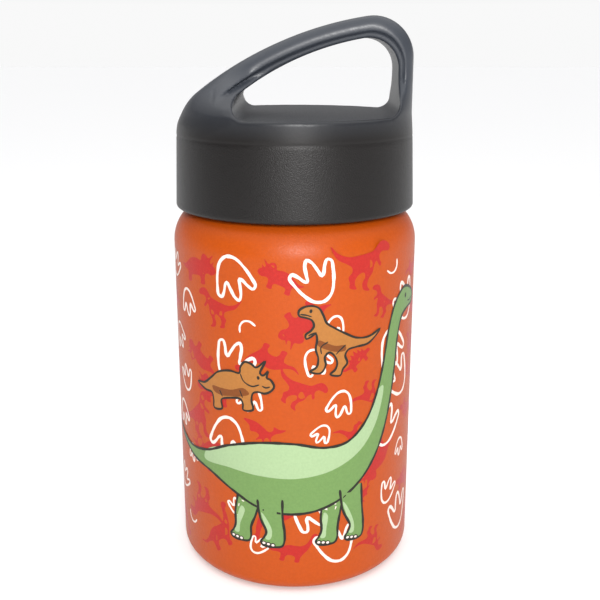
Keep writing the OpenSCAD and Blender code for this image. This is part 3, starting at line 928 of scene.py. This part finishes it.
def draw_leg(leg, move, level):
    """One leg with its shade, pen line and three blunt nails."""
    path = move(leg_path(*leg))
    side = smooth_path(path, closed=False)
    INKS["green"].fill(side, level)
    top_u, top_z, foot_u, foot_z, _, foot_w = leg
    toe = foot_u - foot_w / 2
    light = [(top_u - 2.6, top_z - 4.0), (foot_u - foot_w * 0.28, foot_z + 4.8), (toe + 1.3, foot_z + 2.2),
             (toe + 2.6, foot_z + 2.2), (foot_u - 0.2, foot_z + 5.2), (top_u - 1.6, top_z - 5.0)]
    INKS["pale_green"].fill(smooth_path(move(light)), level + 1)
    INKS["black"].stroke(side, 0.72, level + 2, closed=False)
    for k in range(3):
        middle = (toe + 0.75 + 1.35 * k, foot_z + 0.85 - 0.22 * k)
        nail = smooth_path(move(oval(middle, 0.62, 0.55, 8)), pitch=0.3)
        INKS["white"].fill(nail, level + 3)
        INKS["black"].stroke(nail, 0.3, level + 4)


def long_neck(u0, size, mirror):
    """The large two-tone green animal; the one at the front has size 1."""
    way = -1 if mirror else 1

    def move(points):
        p = (np.asarray(points, float) - (0, STANDING_Z)) * size * np.array([way, 1])
        return p + (u0, STANDING_Z)
    for leg in LEGS_BEHIND:
        draw_leg(leg, move, 2)
    body = smooth_path(move(BACK_LINE + HEAD_LINE + UNDER_LINE))
    INKS["green"].fill(body, 7)
    INKS["pale_green"].fill(smooth_path(move(BACK_LINE[2:-2] + STRIPE_LINE)), 8)
    INKS["black"].stroke(body, 0.78 * size ** 0.5, 9)
    for leg in LEGS_IN_FRONT:
        draw_leg(leg, move, 10)
    eye = oval((39.6, 86.6), 0.55, 0.75, 10)
    INKS["black"].fill(smooth_path(move(eye), pitch=0.2), 10)
    mouth = smooth_path(move([(45.2, 85.0), (43.4, 84.3), (41.4, 84.6)]), closed=False)
    INKS["black"].stroke(mouth, 0.4, 10, closed=False)


THREEHORN_SHADE = [(-4.2, 0.2), (-2.8, -0.4), (-1.0, -0.4), (0.8, -0.4), (2.2, 0.0), (1.4, 0.9),
                   (-0.8, 0.6), (-2.8, 0.8), (-4.4, 1.0)]
THREEHORN_LINES = [[(1.2, 3.2), (1.6, 2.0), (2.8, 1.2), (4.0, 1.4)], [(5.6, 1.0), (4.9, 0.9), (4.4, 1.2)],
                   [(-3.0, 0.4), (-2.6, -0.6)], [(0.7, 0.6), (1.0, -0.6)]]
THEROPOD_SHADE = [(-3.0, 1.4), (-1.6, 1.0), (0.2, 1.2), (1.4, 1.6), (1.4, 2.4), (0.4, 2.2), (-1.2, 1.9),
                  (-2.8, 2.1)]
THEROPOD_LINES = [[(4.9, 5.75), (4.0, 5.8), (3.2, 5.7)], [(-2.8, 2.2), (-2.0, 1.2), (-1.6, 0.6)],
                  [(2.0, 3.5), (2.6, 3.2), (3.1, 2.8)], [(0.0, 2.4), (0.9, 1.4), (0.6, 0.4)]]


def small_animal(shape, u, z, size, turn, mirror, shade, eye, lines):
    """Amber animal: fill, darker underside, pen line, a dot eye and a few inner pen lines."""
    def move(points):
        return placed(points, u, z, size, turn, mirror)
    outline = smooth_path(move(shape))
    INKS["amber"].fill(outline, 10)
    INKS["brown"].fill(smooth_path(move(shade)), 11)
    INKS["black"].stroke(outline, 0.62, 12)
    INKS["black"].fill(smooth_path(move(oval(eye, 0.22, 0.3, 8)), pitch=0.2), 12)
    for line in lines:
        INKS["black"].stroke(smooth_path(move(line), closed=False), 0.42, 12, closed=False)


def small_animals(u0, mirror):
    """The two amber animals above the large one at u0."""
    way = -1 if mirror else 1
    small_animal(THREEHORN, u0 - way * 17.0, 62.0, 1.9, way * 8, mirror,
                 THREEHORN_SHADE, (4.0, 2.5), THREEHORN_LINES)
    small_animal(THEROPOD, u0 + way * 8.5, 74.0, 1.9, way * -12, not mirror,
                 THEROPOD_SHADE, (3.5, 6.5), THEROPOD_LINES)


def printed_pattern():
    """The scatter all round, with one group of animals at the front and a mirrored one at the back."""
    scatter()
    long_neck(0.0, 1.0, False)
    long_neck(GIRTH / 2, 0.86, True)
    small_animals(0.0, False)
    small_animals(GIRTH / 2, True)
    for colour in INKS.values():
        colour.finish()


# ---------------------------------------------------------------- stage

def camera():
    """A little above the deck, looking down by 16 degrees."""
    data = bpy.data.cameras.new("camera")
    data.sensor_width = 36
    data.lens = 53.2
    data.clip_start = 0.01
    view = bpy.data.objects.new("camera", data)
    view.location = (0.0016, -0.2661, 0.1572)
    view.rotation_euler = (math.pi / 2 - 0.282, 0, 0)
    bpy.context.scene.collection.objects.link(view)
    bpy.context.scene.camera = view


def area_light(name, place, target, size, power, colour=(1, 1, 1)):
    """Soft box at a place in metres, turned towards a target."""
    data = bpy.data.lights.new(name, "AREA")
    data.shape = "RECTANGLE"
    data.size, data.size_y = size
    data.energy = power
    data.color = colour
    light = bpy.data.objects.new(name, data)
    light.location = place
    light.rotation_euler = (Vector(target) - Vector(place)).to_track_quat("-Z", "Y").to_euler()
    bpy.context.scene.collection.objects.link(light)


# Colours of the room along a slanted line, from low at the front left (0) to high at the back right
# (1), and from the horizon up; the two are multiplied
ROOM_ALONG = ((0.05, (0.05, 0.06, 0.08)), (0.60, (1.0, 1.0, 1.0)), (0.38, (0.48, 0.49, 0.52)))
ROOM_UP = ((0.04, (0.70, 0.70, 0.70)), (0.14, (0.20, 0.20, 0.21)),
           (0.45, (0.21, 0.21, 0.22)), (0.80, (1.2, 1.2, 1.2)))
ROOM_SLANT_X, ROOM_SLANT_Z = 0.55, 1.1
ROOM_STRENGTH = 1.35


def surroundings():
    """Room that is dark behind the camera, pale behind the bottle and brightest overhead."""
    world = bpy.data.worlds.new("surroundings")
    world.use_nodes = True
    bpy.context.scene.world = world
    tree = world.node_tree
    split = tree.nodes.new("ShaderNodeSeparateXYZ")
    tree.links.new(tree.nodes.new("ShaderNodeTexCoord").outputs["Generated"], split.inputs[0])

    def ramp(value, stops):
        node = tree.nodes.new("ShaderNodeValToRGB")
        stripes = node.color_ramp.elements
        for i, (position, colour) in enumerate(stops):
            stripe = stripes[i] if i < 2 else stripes.new(position)
            stripe.position, stripe.color = position, (*colour, 1)
        tree.links.new(value, node.inputs["Fac"])
        return node.outputs["Color"]

    def plus(total, value, factor):
        node = tree.nodes.new("ShaderNodeMath")
        node.operation = "MULTIPLY_ADD"
        tree.links.new(value, node.inputs[0])
        node.inputs[1].default_value = factor
        tree.links.new(total, node.inputs[2])
        return node.outputs["Value"]
    slant = plus(plus(split.outputs["Y"], split.outputs["X"], ROOM_SLANT_X), split.outputs["Z"], ROOM_SLANT_Z)
    along = tree.nodes.new("ShaderNodeMapRange")
    along.inputs["From Min"].default_value = -1.0
    tree.links.new(slant, along.inputs["Value"])
    both = tree.nodes.new("ShaderNodeMix")
    both.data_type, both.blend_type = "RGBA", "MULTIPLY"
    both.inputs["Factor"].default_value = 1.0
    tree.links.new(ramp(along.outputs["Result"], ROOM_ALONG), both.inputs["A"])
    tree.links.new(ramp(split.outputs["Z"], ROOM_UP), both.inputs["B"])
    tree.links.new(both.outputs["Result"], tree.nodes["Background"].inputs["Color"])
    tree.nodes["Background"].inputs["Strength"].default_value = ROOM_STRENGTH


def studio():
    """Pale floor under soft overhead light, and one key light above and right of the camera."""
    finish = Finish("pale_floor", (0.93, 0.93, 0.93, 1), 0.8, specular=0.1)
    finish.bumps(finish.noise(8.0, 3.0), 0.02)
    size = 6000.0
    corners = [(-size, -size, 0), (size, -size, 0), (size, size, 0), (-size, size, 0)]
    floor = add_mesh("floor", corners, [(0, 1, 2, 3)], [finish.material])
    floor.location.z = -0.0002
    surroundings()
    area_light("key", (0.06, -0.80, 0.40), (0, 0, 0.125), (0.19, 0.19), 7.4, (1.0, 0.99, 0.98))
    bpy.context.scene.view_settings.view_transform = "Standard"


# ---------------------------------------------------------------- build

camera()
studio()
painted_shell()
bottom_cup()
bottom_disc()
inner_vessel()
inner_bottom()
cap_moulding()
threaded_sleeve()
plug_end()
sealing_ring()
printed_pattern()

for node, material in (("vacuum_seal", SOLDER), ("getter", GETTER), ("getter_clip", BARE_STEEL),
                       ("radiation_foil", FOIL), ("insulation_disc", FOAM)):
    for entry in frame["nodes"][node].material_slots:
        entry.material = material
